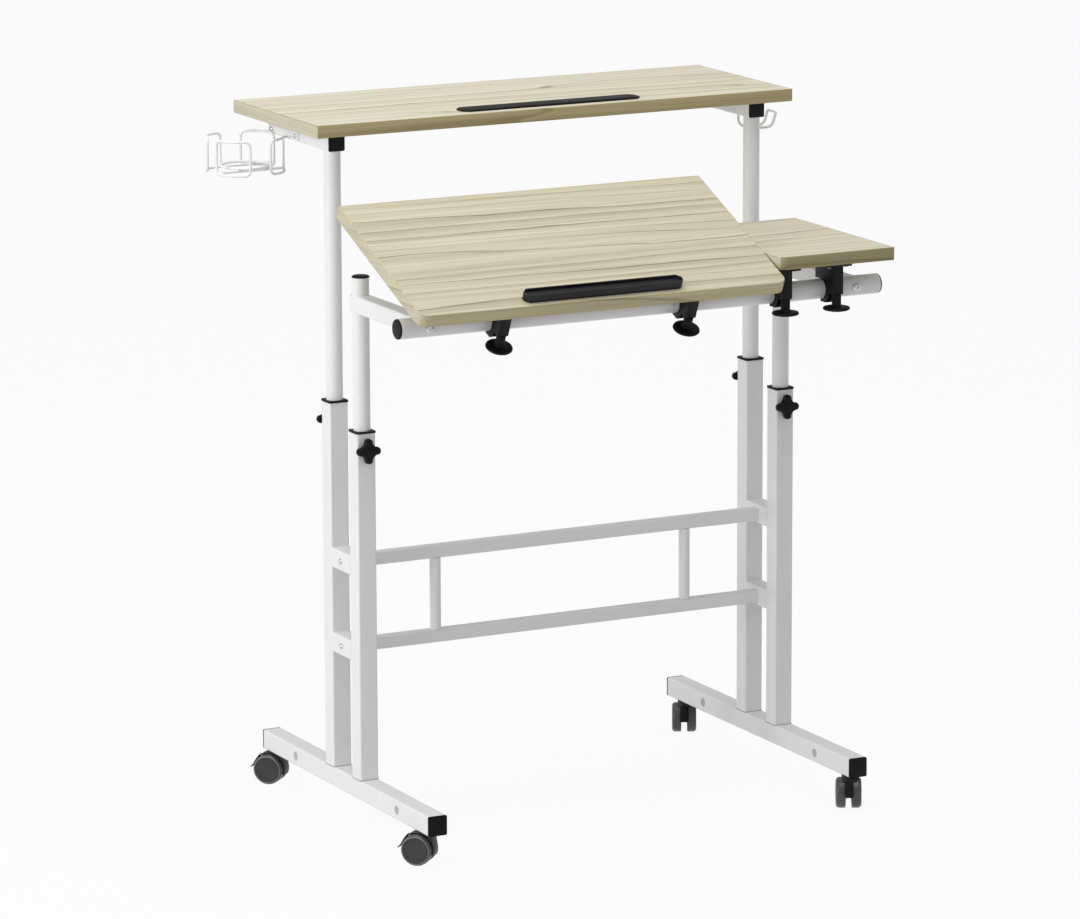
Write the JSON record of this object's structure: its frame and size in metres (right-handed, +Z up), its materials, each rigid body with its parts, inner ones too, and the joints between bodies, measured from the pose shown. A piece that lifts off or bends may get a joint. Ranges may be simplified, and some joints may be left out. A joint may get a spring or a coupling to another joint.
{
  "type": "mobile standing desk",
  "caption": "Rolling sit-stand desk: two side frames with height-adjustable flat shelf, tilting work board and side board clamped to a cross tube, cup holder and bag hook.",
  "frame": {"origin": "centre of the desk's outline at floor level, under the wheels", "axes": "+X to the user's right, +Y away from the user, +Z up"},
  "size_m": [0.9088, 0.6422, 1.064],
  "materials": {
    "powder_white": "gloss white powder coat",
    "black_plastic": "matt black moulded plastic",
    "wheel_grey": "dark grey nylon",
    "steel": "zinc plated",
    "oak_laminate": "pale oak laminate on particle board"
  },
  "bodies": {
    "base_frame": {"side_frame_left": "powder_white", "side_frame_right": "powder_white", "foot_left": "powder_white", "foot_right": "powder_white", "foot_end_caps": "black_plastic", "crossbar_upper": "powder_white", "crossbar_lower": "powder_white", "brace_spindles": "powder_white", "crossbar_bolts": "steel", "foot_bolts": "steel", "upright_bushings": "black_plastic", "knob_nuts": "steel", "caster_stems": "steel"},
    "shelf": {"shelf_board": "oak_laminate", "shelf_stop_strip": "black_plastic", "shelf_post_left": "powder_white", "shelf_post_right": "powder_white", "shelf_arm_caps": "black_plastic", "shelf_screws": "steel", "cup_holder": "powder_white", "accessory_hook": "powder_white", "accessory_screws": "steel", "rear_post_guides": "black_plastic"},
    "desk_carriage": {"desk_post_left": "powder_white", "desk_post_right": "powder_white", "desk_post_caps": "black_plastic", "cross_tube": "powder_white", "cross_tube_caps": "black_plastic", "cross_tube_screws": "steel", "front_post_guides": "black_plastic"},
    "work_board": {"main_board": "oak_laminate", "main_ledge": "black_plastic", "main_clamp_brackets": "black_plastic", "main_clamp_screws": "steel", "main_clamp_pins": "steel"},
    "side_board_body": {"side_board": "oak_laminate", "side_clamp_brackets": "black_plastic", "side_clamp_screws": "steel", "side_clamp_pins": "steel"},
    "caster_front_left": {"caster_front_left_housing": "wheel_grey"},
    "caster_front_left_wheel_pair": {"caster_front_left_wheels": "wheel_grey"},
    "caster_front_left_brake_pedal": {"caster_front_left_brake": "black_plastic"},
    "caster_front_right": {"caster_front_right_housing": "wheel_grey"},
    "caster_front_right_wheel_pair": {"caster_front_right_wheels": "wheel_grey"},
    "caster_front_right_brake_pedal": {"caster_front_right_brake": "black_plastic"},
    "caster_rear_left": {"caster_rear_left_housing": "wheel_grey"},
    "caster_rear_left_wheel_pair": {"caster_rear_left_wheels": "wheel_grey"},
    "caster_rear_left_brake_pedal": {"caster_rear_left_brake": "black_plastic"},
    "caster_rear_right": {"caster_rear_right_housing": "wheel_grey"},
    "caster_rear_right_wheel_pair": {"caster_rear_right_wheels": "wheel_grey"},
    "caster_rear_right_brake_pedal": {"caster_rear_right_brake": "black_plastic"},
    "knob_front_left_body": {"knob_front_left": "black_plastic"},
    "knob_front_right_body": {"knob_front_right": "black_plastic"},
    "knob_rear_left_body": {"knob_rear_left": "black_plastic"},
    "knob_rear_right_body": {"knob_rear_right": "black_plastic"},
    "clamp_knob_main_left_body": {"clamp_knob_main_left": "black_plastic"},
    "clamp_knob_main_right_body": {"clamp_knob_main_right": "black_plastic"},
    "clamp_knob_side_left_body": {"clamp_knob_side_left": "black_plastic"},
    "clamp_knob_side_right_body": {"clamp_knob_side_right": "black_plastic"}
  },
  "joints": [
    {"name": "desk_height", "type": "slide", "parent": "base_frame", "child": "desk_carriage", "axis": [0, 0, 1], "range_m": [-0.177, 0.283]},
    {"name": "shelf_height", "type": "slide", "parent": "base_frame", "child": "shelf", "axis": [0, 0, 1], "range_m": [-0.375, 0.085]},
    {"name": "work_board_tilt", "type": "hinge", "parent": "desk_carriage", "child": "work_board", "pos_m": [-0.07075, -0.23852, 0.801], "axis": [1, 0, 0], "range_deg": [-23.45, 36.5]},
    {"name": "side_board_tilt", "type": "hinge", "parent": "desk_carriage", "child": "side_board_body", "pos_m": [0.33075, -0.23852, 0.801], "axis": [1, 0, 0], "range_deg": [0, 60]},
    {"name": "caster_front_left_swivel", "type": "hinge", "parent": "base_frame", "child": "caster_front_left", "pos_m": [-0.32526, -0.24052, 0.046], "axis": [0, 0, 1], "continuous": true},
    {"name": "caster_front_left_roll", "type": "hinge", "parent": "caster_front_left", "child": "caster_front_left_wheel_pair", "pos_m": [-0.33567, -0.22973, 0.0235], "axis": [0.7193, 0.6947, 0], "continuous": true},
    {"name": "caster_front_left_brake_press", "type": "hinge", "parent": "caster_front_left", "child": "caster_front_left_brake_pedal", "pos_m": [-0.34679, -0.21823, 0.0315], "axis": [-0.7193, -0.6947, 0], "range_deg": [0, 8]},
    {"name": "caster_front_right_swivel", "type": "hinge", "parent": "base_frame", "child": "caster_front_right", "pos_m": [0.38375, -0.24052, 0.046], "axis": [0, 0, 1], "continuous": true},
    {"name": "caster_front_right_roll", "type": "hinge", "parent": "caster_front_right", "child": "caster_front_right_wheel_pair", "pos_m": [0.3767, -0.25377, 0.0235], "axis": [-0.8829, 0.4695, 0], "continuous": true},
    {"name": "caster_front_right_brake_press", "type": "hinge", "parent": "caster_front_right", "child": "caster_front_right_brake_pedal", "pos_m": [0.36919, -0.2679, 0.0315], "axis": [0.8829, -0.4695, 0], "range_deg": [0, 8]},
    {"name": "caster_rear_left_swivel", "type": "hinge", "parent": "base_frame", "child": "caster_rear_left", "pos_m": [-0.32526, 0.28047, 0.046], "axis": [0, 0, 1], "continuous": true},
    {"name": "caster_rear_left_roll", "type": "hinge", "parent": "caster_rear_left", "child": "caster_rear_left_wheel_pair", "pos_m": [-0.33567, 0.29126, 0.0235], "axis": [0.7193, 0.6947, 0], "continuous": true},
    {"name": "caster_rear_left_brake_press", "type": "hinge", "parent": "caster_rear_left", "child": "caster_rear_left_brake_pedal", "pos_m": [-0.34679, 0.30277, 0.0315], "axis": [-0.7193, -0.6947, 0], "range_deg": [0, 8]},
    {"name": "caster_rear_right_swivel", "type": "hinge", "parent": "base_frame", "child": "caster_rear_right", "pos_m": [0.38375, 0.28047, 0.046], "axis": [0, 0, 1], "continuous": true},
    {"name": "caster_rear_right_roll", "type": "hinge", "parent": "caster_rear_right", "child": "caster_rear_right_wheel_pair", "pos_m": [0.3767, 0.26723, 0.0235], "axis": [-0.8829, 0.4695, 0], "continuous": true},
    {"name": "caster_rear_right_brake_press", "type": "hinge", "parent": "caster_rear_right", "child": "caster_rear_right_brake_pedal", "pos_m": [0.36919, 0.2531, 0.0315], "axis": [0.8829, -0.4695, 0], "range_deg": [0, 8]},
    {"name": "knob_front_left_turn", "type": "hinge", "parent": "base_frame", "child": "knob_front_left_body", "pos_m": [-0.32526, -0.05552, 0.5825], "axis": [0, -1, 0], "range_deg": [0, 720]},
    {"name": "knob_front_right_turn", "type": "hinge", "parent": "base_frame", "child": "knob_front_right_body", "pos_m": [0.38375, -0.05552, 0.5825], "axis": [0, -1, 0], "range_deg": [0, 720]},
    {"name": "knob_rear_left_turn", "type": "hinge", "parent": "base_frame", "child": "knob_rear_left_body", "pos_m": [-0.32526, 0.09847, 0.608], "axis": [0, 1, 0], "range_deg": [0, 720]},
    {"name": "knob_rear_right_turn", "type": "hinge", "parent": "base_frame", "child": "knob_rear_right_body", "pos_m": [0.38375, 0.09847, 0.608], "axis": [0, 1, 0], "range_deg": [0, 720]},
    {"name": "clamp_knob_main_left_turn", "type": "hinge", "parent": "work_board", "child": "clamp_knob_main_left_body", "pos_m": [-0.21576, -0.25865, 0.76447], "axis": [0, 0.3979, -0.9174], "range_deg": [0, 720]},
    {"name": "clamp_knob_main_right_turn", "type": "hinge", "parent": "work_board", "child": "clamp_knob_main_right_body", "pos_m": [0.09224, -0.25865, 0.76447], "axis": [0, 0.3979, -0.9174], "range_deg": [0, 720]},
    {"name": "clamp_knob_side_left_turn", "type": "hinge", "parent": "side_board_body", "child": "clamp_knob_side_left_body", "pos_m": [0.25224, -0.27153, 0.7755], "axis": [0, 0, -1], "range_deg": [0, 720]},
    {"name": "clamp_knob_side_right_turn", "type": "hinge", "parent": "side_board_body", "child": "clamp_knob_side_right_body", "pos_m": [0.33925, -0.27153, 0.7755], "axis": [0, 0, -1], "range_deg": [0, 720]}
  ]
}
